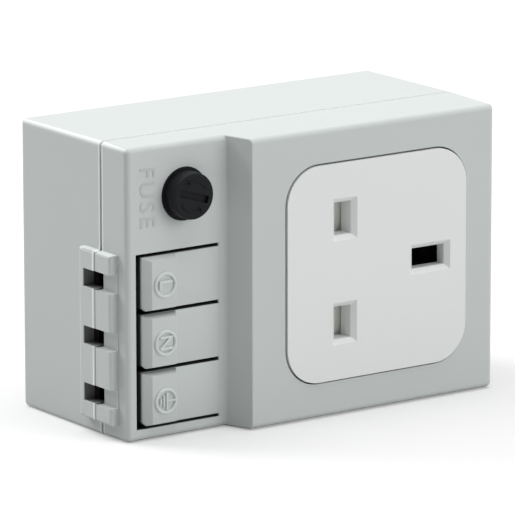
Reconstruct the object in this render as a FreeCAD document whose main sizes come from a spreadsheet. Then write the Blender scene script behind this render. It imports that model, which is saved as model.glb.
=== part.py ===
import FreeCAD, Part
import math
import os
import Sketcher

# A socket outlet for a 35 mm mounting rail, with a fused three-pin socket and lever clamps.
# X runs along the casing, Z up, and the front looks along -Y. The origin is on the face that
# rests on the rail. A level is a distance in front of that face, so it is minus Y.

V = FreeCAD.Vector

SIZES = {
    # casing
    "length": 90.0,
    "height": 62.0,
    "base_depth": 30.0,
    "low_rise": 9.1,
    "high_rise": 6.1,
    "step_start": 25.0,
    "step_run": 2.2,
    "step_wall": 1.4,
    "side_wall": 2.4,
    "front_wall": 2.0,
    "back_wall": 2.5,
    "base_draft": 0.1,
    "cover_draft": 0.3,
    "corner_round": 1.0,
    "front_round": 1.2,
    "slope_round": 0.3,
    "back_round": 0.8,
    "seam_width": 0.7,
    "seam_cut": 0.9,
    "tongue_depth": 2.0,
    "tongue_wall": 0.9,
    "tongue_root": 1.5,
    "tongue_gap": 0.4,
    "relief_low": 1.5,
    "relief_high": 1.0,
    "slide_fit": 0.1,
    # casing screws
    "screw_left": 30.0,
    "screw_right": 7.0,
    "screw_edge": 6.0,
    "screw_radius": 1.5,
    "screw_head_radius": 2.8,
    "screw_head_height": 2.0,
    "screw_bite": 8.0,
    "screw_sink": 10.0,
    "screw_slack": 0.2,
    "screw_fit": 0.05,
    "screw_room": 1.0,
    "recess_width": 0.6,
    "recess_length": 3.0,
    "recess_depth": 1.1,
    "boss_radius": 4.2,
    "cover_boss_radius": 3.4,
    # rail seat and hooks
    "plinth_depth": 5.0,
    "plinth_length": 54.0,
    "plinth_height": 40.0,
    "rail_width": 35.0,
    "rail_slack": 0.15,
    "hook_gap": 1.5,
    "hook_reach": 4.2,
    "hook_lip": 1.6,
    "hook_slope": 0.4,
    "hook_length": 12.0,
    "hook_relief": 1.0,
    # rail latch and its spring
    "latch_width": 16.0,
    "latch_neck": 12.0,
    "latch_flange": 1.6,
    "latch_thick": 3.5,
    "latch_inset": 0.1,
    "latch_inner": 11.0,
    "latch_tail": 7.0,
    "latch_hook": 3.4,
    "latch_slot_length": 6.0,
    "latch_slot_width": 2.0,
    "latch_slot_edge": 1.6,
    "latch_window_end": 9.0,
    "channel_room": 0.6,
    "post_inset": 0.3,
    "post_from_hook": 3.05,
    "post_thick": 1.4,
    "post_width": 3.4,
    "latch_spring_radius": 1.25,
    "latch_spring_wire": 0.4,
    # wire entries on the left side
    "strip_proud": 1.8,
    "strip_bottom": 3.3,
    "strip_top": 39.24,
    "strip_base": 5.8,
    "strip_cover": 5.9,
    "strip_round": 0.7,
    "strip_chamfer": 0.4,
    "tab_gap": 4.0,
    "wire_height": 3.8,
    "wire_below_seam": 4.1,
    "wire_above_seam": 0.8,
    "entry_wall": 1.0,
    "entry_room": 0.5,
    # levers and clamps
    "lever_top": 39.2,
    "lever_pitch": 12.11,
    "lever_slit": 0.65,
    "lever_corner": 0.8,
    "lever_root": 23.0,
    "lever_root_gap": 0.03,
    "lever_end_gap": 1.16,
    "pad_proud": 0.9,
    "pad_bevel": 0.95,
    "pad_ramp": 2.3,
    "pad_length": 8.4,
    "pad_back": 0.3,
    "rib_place": 14.0,
    "rib_width": 1.0,
    "rib_gap": 0.15,
    "pin_back": 4.4,
    "pin_drop": 2.1,
    "pin_radius": 0.9,
    "eye_fit": 0.08,
    "leaf_thick": 0.4,
    "leaf_width": 6.8,
    "leaf_arm": 12.0,
    "leaf_drop": 7.3,
    "leaf_bend": 0.6,
    "leaf_slit": 0.6,
    "window_width": 5.2,
    "window_foot": 1.6,
    "window_height": 4.5,
    # terminal block
    "block_left": 0.4,
    "block_wall": 1.2,
    "block_bottom": 1.2,
    "cell_floor": 13.6,
    "cell_plate": 2.0,
    "lever_travel": 9.0,
    "block_clear": 0.3,
    # conductors
    "bar_level": 6.1,
    "bar_thick": 1.2,
    "bar_width": 4.4,
    "bar_start": 2.0,
    "drop_left": 1.9,
    "drop_thick": 1.2,
    "strip_thick": 0.8,
    "link_level": 10.0,
    "neutral_level": 14.0,
    "earth_level": 17.2,
    "run_width": 2.4,
    "lane_width": 1.8,
    "neutral_shift": 0.6,
    "rivet_hole": 0.9,
    "bar_slack": 0.3,
    # socket insert
    "insert_size": 46.2,
    "insert_round": 8.0,
    "insert_gap": 0.35,
    "insert_proud": 0.4,
    "insert_plate": 3.3,
    "flange_width": 1.5,
    "flange_thick": 1.8,
    "flange_room": 0.6,
    "boss_depth": 4.4,
    "boss_wall": 1.4,
    "line_place": 8.1,
    "pin_pitch": 22.23,
    "insert_shift": 8.5,
    "line_slot_x": 4.3,
    "line_slot_z": 7.0,
    "earth_slot_x": 8.4,
    "earth_slot_z": 4.4,
    "slot_chamfer": 1.0,
    # contact carrier and contacts
    "carrier_x": 44.0,
    "carrier_z": 38.0,
    "carrier_foot": 20.0,
    "carrier_top": 7.2,
    "carrier_wall": 1.5,
    "post_size": 4.0,
    "chimney_wall": 1.2,
    "chimney_foot": 22.0,
    "pocket_slack": 0.4,
    "contact_foot": 24.0,
    "contact_thick": 0.6,
    "contact_sole": 1.0,
    "line_contact_top": 0.8,
    "earth_contact_top": 4.8,
    "line_pin_x": 4.0,
    "line_pin_z": 6.35,
    "earth_pin_x": 7.95,
    "earth_pin_z": 4.05,
    "tail_width": 3.2,
    "pillar_radius": 2.2,
    "pillar_inset_x": 2.5,
    "pillar_inset_z": 4.0,
    # shutter and its spring
    "shutter_lift": 0.2,
    "shutter_thick": 2.0,
    "shutter_side": 1.0,
    "shutter_travel": 5.5,
    "shutter_z": 30.8,
    "link_z": 6.0,
    "ramp_depth": 5.6,
    "ramp_lead": 0.3,
    "shutter_slack": 0.3,
    "shutter_spring_radius": 1.1,
    "shutter_spring_wire": 0.3,
    "spring_stop": 1.8,
    # fuse holder, cap and fuse
    "fuse_place_x": 14.5,
    "fuse_place_z": 11.1,
    "ring_radius": 5.6,
    "ring_proud": 0.2,
    "ring_thick": 1.2,
    "tube_radius": 5.0,
    "tube_bore": 4.0,
    "tube_length": 29.0,
    "tube_bottom": 2.0,
    "tube_fit": 0.05,
    "nut_across": 12.6,
    "nut_thick": 3.0,
    "cap_radius": 4.9,
    "cap_proud": 3.65,
    "cap_gap": 0.1,
    "cap_floor": 1.0,
    "cap_round": 0.5,
    "cap_shank": 8.4,
    "cap_shank_radius": 3.92,
    "cap_slot_length": 7.2,
    "cap_slot_width": 1.55,
    "cap_slot_depth": 0.7,
    "cap_slot_turn": -17.8,
    "sleeve_length": 7.0,
    "sleeve_radius": 3.85,
    "sleeve_bore": 2.7,
    "fuse_radius": 2.6,
    "glass_wall": 0.6,
    "fuse_length": 20.0,
    "end_cap_length": 5.2,
    "end_cap_wall": 0.4,
    "fuse_wire_radius": 0.15,
    "fuse_top_gap": 0.3,
    "rivet_radius": 2.4,
    "stem_radius": 1.2,
    "side_contact_x": 2.4,
    "side_contact_reach": 1.85,
    "side_contact_height": 4.4,
    "side_contact_level": 15.8,
}

doc = FreeCAD.newDocument("SocketOutlet")
sheet = doc.addObject("Spreadsheet::Sheet", "Sizes")
for row, (name, number) in enumerate(SIZES.items(), 1):
    sheet.set(f"A{row}", name)
    sheet.set(f"B{row}", str(number))
    sheet.setAlias(f"B{row}", name)
doc.recompute()


class Size:
    """A length worked out from the sheet: its formula as text, and its present value."""

    def __init__(self, text, value):
        self.text = text
        self.value = value

    def joined(self, sign, other, value):
        return Size(f"({self.text} {sign} {other.text})", value)

    def __add__(self, other):
        other = size(other)
        return self.joined("+", other, self.value + other.value)

    def __sub__(self, other):
        other = size(other)
        return self.joined("-", other, self.value - other.value)

    def __mul__(self, other):
        other = size(other)
        return self.joined("*", other, self.value * other.value)

    def __truediv__(self, other):
        other = size(other)
        return self.joined("/", other, self.value / other.value)

    def __neg__(self):
        return Size(f"(-1 * {self.text})", -self.value)

    def __radd__(self, other):
        return size(other) + self

    def __rsub__(self, other):
        return size(other) - self

    def __rmul__(self, other):
        return size(other) * self


def size(thing):
    if isinstance(thing, Size):
        return thing
    return Size(f"({thing})", float(thing))


class Sheet:
    """Gives each cell of the sheet as a Size, by its name."""

    def __getattr__(self, name):
        return Size(f"Sizes.{name}", float(sheet.get(name)))


D = Sheet()
pieces = []

# How far a cut runs past the face that it opens
over = size(1)

# Coils of the two springs
latch_coils = 6
shutter_coils = 7

# Levels in front of the rail seat
seat = size(0)
back = D.plinth_depth
floor = back + D.back_wall
seam = back + D.base_depth
low_face = seam + D.low_rise
high_face = low_face + D.high_rise
low_inside = low_face - D.front_wall
high_inside = high_face - D.front_wall
insert_face = high_face + D.insert_proud

# Levels inside, counted back from the front so that they follow it
carrier_front = insert_face - D.carrier_top
line_contact_front = carrier_front - D.line_contact_top
earth_contact_front = carrier_front - D.earth_contact_top
bar_low = low_inside - D.bar_level
cell_low = low_inside - D.cell_floor
side_contact_foot = low_face - D.side_contact_level

# Places along and across the casing
half = D.length / 2
tall = D.height / 2
left = -half
inside_x = half - D.side_wall
inside_z = tall - D.side_wall
step_foot = left + D.step_start
step_top = step_foot + D.step_run
line_x = (step_top + half) / 2 - D.line_place
earth_x = line_x + D.pin_pitch
line_z = D.pin_pitch / 2
insert_x = line_x + D.insert_shift
fuse_x = left + D.fuse_place_x
fuse_z = tall - D.fuse_place_z
lever_root_x = left + D.lever_root
lever_end_x = -inside_x + D.lever_end_gap
strip_low = D.strip_bottom - tall
strip_high = D.strip_top - tall
screw_places = [
    (x, z)
    for x in (left + D.screw_left, half - D.screw_right)
    for z in (tall - D.screw_edge, D.screw_edge - tall)
]
terminals = ("live", "neutral", "earth")
terminal_z = [D.lever_top - tall - D.lever_pitch * (k + 0.5) for k in range(3)]


def bind(thing, name, length):
    thing.setExpression(name, length.text)


def hold(sketch, kind, geometry, point, length):
    """Ties one coordinate of a sketch point to a formula."""
    place = Sketcher.Constraint(kind, -1, 1, geometry, point, length.value)
    bind(sketch, f"Constraints[{sketch.addConstraint(place)}]", length)


def poly(points):
    """A closed outline of straight lines."""
    corners = [(size(x), size(y)) for x, y in points]

    def draw(sketch):
        first = sketch.GeometryCount
        spots = [V(x.value, y.value, 0) for x, y in corners]
        for start, end in zip(spots, spots[1:] + spots[:1]):
            sketch.addGeometry(Part.LineSegment(start, end), False)
        count = len(spots)
        for k, (x, y) in enumerate(corners):
            after = first + (k + 1) % count
            sketch.addConstraint(Sketcher.Constraint("Coincident", first + k, 2, after, 1))
            hold(sketch, "DistanceX", first + k, 1, x)
            hold(sketch, "DistanceY", first + k, 1, y)

    return draw


def rect(x0, x1, y0, y1):
    return poly([(x0, y0), (x1, y0), (x1, y1), (x0, y1)])


def middle_rect(x, y, width, height):
    x, y, width, height = size(x), size(y), size(width), size(height)
    return rect(x - width / 2, x + width / 2, y - height / 2, y + height / 2)


def disc(x, y, radius):
    x, y, radius = size(x), size(y), size(radius)

    def draw(sketch):
        circle = Part.Circle(V(x.value, y.value, 0), V(0, 0, 1), radius.value)
        index = sketch.addGeometry(circle, False)
        hold(sketch, "DistanceX", index, 3, x)
        hold(sketch, "DistanceY", index, 3, y)
        girth = sketch.addConstraint(Sketcher.Constraint("Radius", index, radius.value))
        bind(sketch, f"Constraints[{girth}]", radius)

    return draw


def rounded(x, y, width, height, radius):
    """A rectangle about x, y with round corners."""
    x, y, radius = size(x), size(y), size(radius)
    wide, high = size(width) / 2, size(height) / 2
    sides = [(1, 0), (0, 1), (-1, 0), (0, -1)]

    def draw(sketch):
        first = sketch.GeometryCount
        for k, (a, b) in enumerate(sides):
            c, e = sides[(k + 1) % 4]
            ex, ey = wide.value - radius.value, high.value - radius.value
            middle = V(x.value + a * wide.value, y.value + b * high.value, 0)
            reach = V(abs(b) * ex, abs(a) * ey, 0)
            way = V(c * reach.x, e * reach.y, 0)
            sketch.addGeometry(Part.LineSegment(middle - way, middle + way), False)
            centre = V(x.value + (a + c) * ex, y.value + (b + e) * ey, 0)
            circle = Part.Circle(centre, V(0, 0, 1), radius.value)
            turn = math.pi / 2 * k
            sketch.addGeometry(Part.ArcOfCircle(circle, turn, turn + math.pi / 2), False)
        for k, (a, b) in enumerate(sides):
            line, arc = first + 2 * k, first + 2 * k + 1
            following = first + (2 * k + 2) % 8
            sketch.addConstraint(Sketcher.Constraint("Tangent", line, 2, arc, 1))
            sketch.addConstraint(Sketcher.Constraint("Tangent", arc, 2, following, 1))
            kind = "DistanceX" if a else "DistanceY"
            edge = x + wide * a if a else y + high * b
            sketch.addConstraint(Sketcher.Constraint("Vertical" if a else "Horizontal", line))
            hold(sketch, kind, line, 1, edge)
            girth = sketch.addConstraint(Sketcher.Constraint("Radius", arc, radius.value))
            bind(sketch, f"Constraints[{girth}]", radius)

    return draw


def piece(label):
    body = doc.addObject("PartDesign::Body", label)
    body.Label = label
    pieces.append(body)
    return body


def sketch_on(body, plane, level, outlines):
    """A sketch on a plane of the body. The XZ plane looks along -Y, so its level is forwards."""
    sketch = body.newObject("Sketcher::SketchObject", f"{body.Label}_sketch")
    roles = {feature.Role: feature for feature in body.Origin.OriginFeatures}
    sketch.AttachmentSupport = [(roles[f"{plane}_Plane"], "")]
    sketch.MapMode = "FlatFace"
    bind(sketch, "AttachmentOffset.Base.z", size(level))
    for outline in outlines:
        outline(sketch)
    return sketch


def volume(body):
    return body.Shape.Volume if body.Tip else 0.0


def add(body, plane, low, high, *outlines):
    """Pads the outlines from one level to a higher one."""
    before = volume(body)
    sketch = sketch_on(body, plane, low, outlines)
    pad = body.newObject("PartDesign::Pad", f"{body.Label}_pad")
    pad.Profile = sketch
    bind(pad, "Length", size(high) - size(low))
    doc.recompute()
    if not body.Shape.Volume > before:
        raise RuntimeError(f"{pad.Label} adds nothing")
    return pad


def cut(body, plane, low, high, *outlines):
    """Pockets the outlines from one level to a higher one."""
    before = volume(body)
    sketch = sketch_on(body, plane, high, outlines)
    pocket = body.newObject("PartDesign::Pocket", f"{body.Label}_pocket")
    pocket.Profile = sketch
    bind(pocket, "Length", size(high) - size(low))
    doc.recompute()
    if not body.Shape.Volume < before:
        raise RuntimeError(f"{pocket.Label} cuts nothing")
    return pocket


def loft(body, plane, low, low_outline, high, high_outline):
    first = sketch_on(body, plane, low, [low_outline])
    last = sketch_on(body, plane, high, [high_outline])
    between = body.newObject("PartDesign::AdditiveLoft", f"{body.Label}_loft")
    between.Profile = first
    between.Sections = [last]
    between.Ruled = True
    doc.recompute()
    return between


def dress(body, kind, radius, chosen):
    """Rounds or chamfers the edges for which chosen says yes."""
    tip = body.Tip
    names = [f"Edge{k}" for k, edge in enumerate(tip.Shape.Edges, 1) if chosen(edge)]
    if not names:
        raise RuntimeError(f"{body.Label} has no such edge")
    feature = body.newObject(f"PartDesign::{kind}", f"{body.Label}_{kind.lower()}")
    feature.Base = (tip, names)
    bind(feature, "Size" if kind == "Chamfer" else "Radius", radius)
    doc.recompute()
    return feature


def at_level(edge, level):
    """Whether an edge lies flat at a level in front of the rail seat."""
    box = edge.BoundBox
    return abs(box.YMin + level.value) < 1e-4 and abs(box.YMax + level.value) < 1e-4


def runs_deep(edge, low, high):
    """Whether an edge runs from one level to another."""
    box = edge.BoundBox
    return abs(box.YMax + low.value) < 1e-4 and abs(box.YMin + high.value) < 1e-4


def at_x(edge, x):
    box = edge.BoundBox
    return abs(box.XMin - x.value) < 1e-4 and abs(box.XMax - x.value) < 1e-4


def seam_ring(inset):
    """The band of the side walls that the seam's groove takes away."""
    outer = rounded(0, 0, D.length + over, D.height + over, D.corner_round)
    inner = rounded(0, 0, D.length - inset * 2, D.height - inset * 2, D.corner_round)
    return outer, inner


def rear_base():
    body = piece("rear_base")
    small = middle_rect(0, 0, D.length - D.base_draft * 2, D.height - D.base_draft * 2)
    loft(body, "XZ", back, small, seam, middle_rect(0, 0, D.length, D.height))
    dress(body, "Fillet", D.corner_round, lambda edge: runs_deep(edge, back, seam))
    dress(body, "Fillet", D.back_round, lambda edge: at_level(edge, back))
    cut(body, "XZ", floor, seam, middle_rect(0, 0, inside_x * 2, inside_z * 2))

    # the seat for the rail, with two hooks over one edge of it
    plinth = middle_rect(0, 0, D.plinth_length, D.plinth_height)
    add(body, "XZ", seat, back + D.back_wall / 2, plinth)
    hook_face = D.rail_width / 2 + D.rail_slack
    lip = hook_face - D.hook_lip
    hook = poly(
        [
            (hook_face, 0),
            (hook_face, D.hook_gap),
            (lip, D.hook_gap + D.hook_slope),
            (lip, D.hook_reach - D.hook_slope * 2),
            (lip + D.hook_lip / 2, D.hook_reach),
            (D.plinth_length / 2, D.hook_reach),
            (D.plinth_length / 2, 0),
        ]
    )
    edge = D.plinth_height / 2
    add(body, "XY", edge - D.hook_length, edge, hook)
    add(body, "XY", -edge, D.hook_length - edge, hook)
    # the seat stands back under the hooks, so that nothing hangs over the face the rail lies on
    ends = ((edge - D.hook_length, edge), (-edge, D.hook_length - edge))
    cut(body, "XZ", seat, D.hook_relief, *[rect(lip, hook_face, *end) for end in ends])

    # the channel that the latch slides in, and the post that its spring pushes against
    fit = D.slide_fit
    flange_low = D.latch_inset + D.latch_thick - D.latch_flange - fit
    flange_high = D.latch_inset + D.latch_thick + fit
    mouth = -D.plinth_length / 2
    inner_end = latch_inner_x() + D.channel_room
    wide = D.latch_width / 2 + fit
    neck = D.latch_neck / 2 + fit
    cut(body, "XZ", flange_low, flange_high, rect(mouth - over, inner_end, -wide, wide))
    cut(body, "XZ", seat - over, flange_low, rect(mouth - over, inner_end, -neck, neck))
    post = middle_rect(post_x() + D.post_thick / 2, 0, D.post_thick, D.post_width)
    add(body, "XZ", D.post_inset, back, post)

    # four bosses for the casing screws, and four pillars under the contact carrier
    sunk = back + D.screw_sink
    add(body, "XZ", floor, seam, *[disc(x, z, D.boss_radius) for x, z in screw_places])
    head_hole = D.screw_head_radius + D.screw_slack
    shank_hole = D.screw_radius + D.screw_slack
    cut(body, "XZ", back - over, sunk, *[disc(x, z, head_hole) for x, z in screw_places])
    cut(body, "XZ", sunk, seam, *[disc(x, z, shank_hole) for x, z in screw_places])
    pillar_x = D.carrier_x / 2 - D.pillar_inset_x
    pillar_z = D.carrier_z / 2 - D.pillar_inset_z
    pillars = [
        disc(insert_x + pillar_x * a, pillar_z * b, D.pillar_radius)
        for a in (-1, 1)
        for b in (-1, 1)
    ]
    add(body, "XZ", floor, D.carrier_foot, *pillars)

    # the raised strip on the left, and the wire holes through it
    strip = rect(left - D.strip_proud, left + D.side_wall / 2, strip_low, strip_high)
    add(body, "XZ", seam - D.strip_base, seam, strip)
    dress(body, "Fillet", D.strip_round, strip_edges(seam - D.strip_base))
    cut(body, "XY", strip_low, strip_high, seam_bevel(-1))
    outside = left - D.strip_proud - over
    cut(body, "YZ", outside, over - inside_x, *wire_holes(D.wire_below_seam, 0, 0))
    room = D.entry_room
    holes = wire_holes(D.wire_below_seam + room, 0, room)
    cut(body, "YZ", left + D.entry_wall, over - inside_x, *holes)

    cut(body, "XZ", seam - D.seam_width / 2, seam, *seam_ring(D.seam_cut))
    return body


def strip_edges(level):
    """The outer edges of the raised strip at one level, and its two ends."""
    front = left - D.strip_proud

    def chosen(edge):
        box = edge.BoundBox
        outer = abs(box.XMin - front.value) < 1e-4
        long_way = outer and abs(box.XMax - front.value) < 1e-4 and at_level(edge, level)
        ends = (strip_low.value, strip_high.value)
        tip = outer and box.XLength < 1e-4 and any(abs(box.ZMin - z) < 1e-4 for z in ends)
        return long_way or (tip and box.ZLength < 1e-4)

    return chosen


def seam_bevel(side):
    """The corner that the strip loses along the seam, in front of it or behind it."""
    front = left - D.strip_proud
    reach = D.strip_chamfer
    tip = seam + (reach + over) * side
    return poly([(front - over, -seam), (front + reach, -seam), (front - over, -tip)])


def wire_holes(below, above, room):
    """Outlines, on the YZ plane, of the three wire holes on one side of the seam."""
    rise = D.wire_height / 2 + room
    return [rect(-(seam + above), -(seam - below), z - rise, z + rise) for z in terminal_z]


def front_cover():
    body = piece("front_cover")
    lean = D.cover_draft
    outline = [
        (left, -seam),
        (left + lean, -low_face),
        (step_foot, -low_face),
        (step_top, -high_face),
        (half - lean, -high_face),
        (half, -seam),
    ]
    add(body, "XY", -tall, tall, poly(outline))
    for side in (-1, 1):
        wedge = poly(
            [
                (-seam, tall * side),
                (-seam, (tall + over) * side),
                (-high_face, (tall + over) * side),
                (-high_face, (tall - lean) * side),
            ]
        )
        cut(body, "YZ", left - over, half + over, wedge)
    dress(body, "Fillet", D.corner_round, starts_at_seam)
    dress(body, "Fillet", D.front_round, front_edges)
    dress(body, "Fillet", D.slope_round, step_edge)

    # the hollow, and the tongue that goes inside the base
    hollow = [
        (-inside_x, -seam),
        (-inside_x, -low_inside),
        (step_foot + D.step_wall, -low_inside),
        (step_top + D.step_wall, -high_inside),
        (inside_x, -high_inside),
        (inside_x, -seam),
    ]
    cut(body, "XY", -inside_z, inside_z, poly(hollow))
    tongue_x = (inside_x - D.slide_fit) * 2
    tongue_z = (inside_z - D.slide_fit) * 2
    inner = middle_rect(0, 0, tongue_x - D.tongue_wall * 2, tongue_z - D.tongue_wall * 2)
    outer = middle_rect(0, 0, tongue_x + D.side_wall, tongue_z + D.side_wall)
    add(body, "XZ", seam, seam + D.tongue_root, outer, inner)
    add(body, "XZ", seam - D.tongue_depth, seam, middle_rect(0, 0, tongue_x, tongue_z), inner)
    relief = strip_low - D.relief_low, strip_high + D.relief_high
    terminal_side = rect(-inside_x, D.tongue_wall * 2 - inside_x, *relief)
    cut(body, "XZ", seam - D.tongue_depth, seam + D.tongue_root, terminal_side)
    clear = D.boss_radius + D.tongue_gap
    around = [disc(x, z, clear) for x, z in screw_places]
    cut(body, "XZ", seam - D.tongue_depth, seam, *around)

    # bosses that take the casing screws
    bosses = [disc(x, z, D.cover_boss_radius) for x, z in screw_places]
    add(body, "XZ", seam, high_inside, *bosses)
    pilot = D.screw_radius + D.screw_fit
    pilots = [disc(x, z, pilot) for x, z in screw_places]
    cut(body, "XZ", seam, seam + D.screw_bite + D.screw_room, *pilots)

    # room around the flange of the socket insert, for which the bosses give way
    lip = D.flange_width + D.flange_room
    wide = D.insert_size + lip * 2
    room = rounded(insert_x, 0, wide, wide, D.insert_round + lip)
    cut(body, "XZ", high_inside - D.flange_thick - D.flange_room, high_inside, room)

    # the openings for the socket insert, the levers and the fuse holder
    opening = D.insert_size + D.insert_gap * 2
    window = rounded(insert_x, 0, opening, opening, D.insert_round + D.insert_gap)
    cut(body, "XZ", high_inside, high_face, window)
    slots = rect(-inside_x, lever_root_x, lever_low(), lever_high())
    cut(body, "XZ", low_inside, low_face, slots)
    hole = disc(fuse_x, fuse_z, D.tube_radius + D.tube_fit)
    cut(body, "XZ", low_inside, low_face, hole)
    ring_seat = disc(fuse_x, fuse_z, D.ring_radius + D.tube_fit)
    cut(body, "XZ", low_face + D.ring_proud - D.ring_thick, low_face, ring_seat)

    # four tabs of the wire entry strip, and the front edge of the wire holes
    strip_end = seam + D.strip_cover
    strip = rect(left - D.strip_proud, left + D.side_wall / 2, strip_low, strip_high)
    add(body, "XZ", seam, strip_end, strip)
    dress(body, "Fillet", D.strip_round, strip_edges(strip_end))
    gaps = [
        rect(left - D.strip_proud - over, left, z - D.tab_gap / 2, z + D.tab_gap / 2)
        for z in terminal_z
    ]
    cut(body, "XY", strip_low, strip_high, seam_bevel(1))
    cut(body, "XZ", seam, strip_end, *gaps)
    cut(body, "YZ", left - over, over - inside_x, *wire_holes(0, D.wire_above_seam, 0))
    room = D.entry_room
    holes = wire_holes(0, D.wire_above_seam + room, room)
    cut(body, "YZ", left + D.entry_wall, over - inside_x, *holes)

    cut(body, "XZ", seam, seam + D.seam_width / 2, *seam_ring(D.seam_cut))
    return body


def starts_at_seam(edge):
    """The four corner edges of the cover, which run forwards from the seam."""
    box = edge.BoundBox
    touches = abs(box.YMax + seam.value) < 1e-4
    corner = min(abs(abs(box.ZMin) - tall.value), abs(abs(box.ZMax) - tall.value)) < 1e-3
    return touches and box.YLength > 1 and corner and box.XLength < 1


def front_edges(edge):
    """The edges around the low and raised faces, without those of the step between them."""
    box = edge.BoundBox
    flat = any(at_level(edge, level) for level in (low_face, high_face))
    return flat and not step_edge(edge)


def step_edge(edge):
    """The two edges of the slope between the low and the raised face."""
    return any(at_x(edge, x) for x in (step_foot, step_top))


def lever_low():
    return terminal_z[2] - D.lever_pitch / 2 - D.lever_slit / 2


def lever_high():
    return terminal_z[0] + D.lever_pitch / 2 + D.lever_slit / 2


def pin_x():
    """Where the pivot pin of the clamp leaves stands."""
    return lever_root_x - D.pin_back


def pin_level():
    return low_inside - D.pin_drop


def leaf_top():
    """The front face of a clamp leaf's arm, which the lever's rib pushes."""
    return pin_level() + D.pin_radius + D.eye_fit + D.leaf_thick


def lever(name, z):
    body = piece(f"{name}_lever")
    width = D.lever_pitch - D.lever_slit
    root = lever_root_x - D.lever_root_gap
    add(body, "XZ", low_inside, low_face, rect(lever_end_x, root, z - width / 2, z + width / 2))
    pad_end = lever_end_x + D.pad_length
    foot = rect(lever_end_x, pad_end, z - width / 2, z + width / 2)
    reach = width / 2 - D.pad_bevel
    top = rect(lever_end_x + D.pad_ramp, pad_end - D.pad_back, z - reach, z + reach)
    loft(body, "XZ", low_face, foot, low_face + D.pad_proud, top)
    corner = [
        (lever_end_x - over, z - width / 2 - over),
        (lever_end_x + D.lever_corner + over, z - width / 2 - over),
        (lever_end_x - over, z - width / 2 + D.lever_corner + over),
    ]
    cut(body, "XZ", low_inside, low_face + D.pad_proud, poly(corner))
    rib_x = lever_root_x - D.rib_place
    rib = middle_rect(rib_x, z, D.rib_width, D.window_width)
    add(body, "XZ", leaf_top() + D.rib_gap, low_inside, rib)
    return body


def clamp_leaf(name, z):
    """A leaf with a rolled eye on the pin and a window that draws the wire to the bar."""
    body = piece(f"{name}_clamp")
    x, level = pin_x(), pin_level()
    bore = D.pin_radius + D.eye_fit
    low, high = z - D.leaf_width / 2, z + D.leaf_width / 2
    end = x - D.leaf_arm
    top = leaf_top()
    add(body, "XY", low, high, disc(x, -level, bore + D.leaf_thick))
    under = top - D.leaf_thick
    add(body, "XY", low, high, rect(end, x, -top, -under))
    cut(body, "XY", low, high, disc(x, -level, bore))
    foot = top - D.leaf_drop
    add(body, "XY", low, high, rect(end - D.leaf_thick, end, -top, -foot))
    window_low = foot + D.window_foot
    reach = D.window_width / 2
    window = rect(-(window_low + D.window_height), -window_low, z - reach, z + reach)
    cut(body, "YZ", end - D.leaf_thick, end, window)

    def outer_bend(edge):
        return at_x(edge, end - D.leaf_thick) and at_level(edge, top)

    dress(body, "Fillet", D.leaf_bend, outer_bend)
    slit = rect(x, x + D.leaf_thick, -level, -(level - bore - D.leaf_slit))
    cut(body, "XY", low, high, slit)
    return body


def terminal_block():
    """The moulding with three cells, one under each lever, and the pivot pin through them."""
    body = piece("terminal_block")
    x0 = -inside_x + D.block_left
    x1 = lever_root_x + D.block_wall - D.step_wall
    wall = D.block_wall
    z1 = lever_high() + wall / 2 - D.lever_slit / 2
    z0 = -inside_z + D.block_bottom
    slope = math.tan(math.radians(D.lever_travel.value))
    rise = Size("tan(Sizes.lever_travel * 1deg)", slope)
    top_right = low_inside - (lever_root_x - x1) * rise - D.block_clear
    top_left = low_inside - (lever_root_x - x0) * rise - D.block_clear
    profile = poly([(x0, -floor), (x1, -floor), (x1, -top_right), (x0, -top_left)])
    add(body, "XY", z0, z1, profile)
    low = cell_low - D.cell_plate
    cut(body, "XZ", floor, low, rect(x0 + wall, x1 - wall, z0 + wall, z1 - wall))
    # each cell is open to the front and to the wire hole on its left
    for k, z in enumerate(terminal_z):
        bottom = z0 + wall if k == 2 else z - D.lever_pitch / 2 + wall / 2
        cell = rect(x0 - over, x1 - wall, bottom, z + D.lever_pitch / 2 - wall / 2)
        cut(body, "XZ", cell_low, low_inside, cell)
    add(body, "XY", z0, z1, disc(pin_x(), -pin_level(), D.pin_radius))
    # ways out for the three bars
    gap = D.bar_slack / 2
    low, high = -(bar_low + D.bar_thick + gap), -(bar_low - gap)
    reach = D.bar_width / 2 + gap
    outs = [rect(low, high, z - reach, z + reach) for z in terminal_z[1:]]
    cut(body, "YZ", x1 - wall, x1, *outs)
    branch = side_contact_low()
    side = rect(branch - gap, branch + D.side_contact_x + gap, low, high)
    cut(body, "XY", z1 - wall, z1, side)
    return body


def side_contact_low():
    """The left edge of the fuse's side contact and of the live bar's branch to it."""
    return fuse_x - D.side_contact_x / 2


def bar_start_x():
    return -inside_x + D.bar_start


def live_bar():
    body = piece("live_bar")
    z = terminal_z[0]
    low, high = bar_low, bar_low + D.bar_thick
    x0 = side_contact_low()
    x1 = x0 + D.side_contact_x
    add(body, "XZ", low, high, rect(bar_start_x(), x1, z - D.bar_width / 2, z + D.bar_width / 2))
    end = side_contact_z()
    add(body, "XZ", low, high, rect(x0, x1, z + D.bar_width / 2, end))
    add(body, "XZ", side_contact_foot, high, rect(x0, x1, end - D.strip_thick, end))
    return body


def side_contact_z():
    """Where the live bar meets the fuse holder's side contact."""
    return fuse_z - D.tube_bore - D.side_contact_reach


def drop_x():
    """The left face of the legs that go down behind the terminal block."""
    return lever_root_x + D.block_wall - D.step_wall + D.drop_left - D.drop_thick


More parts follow.
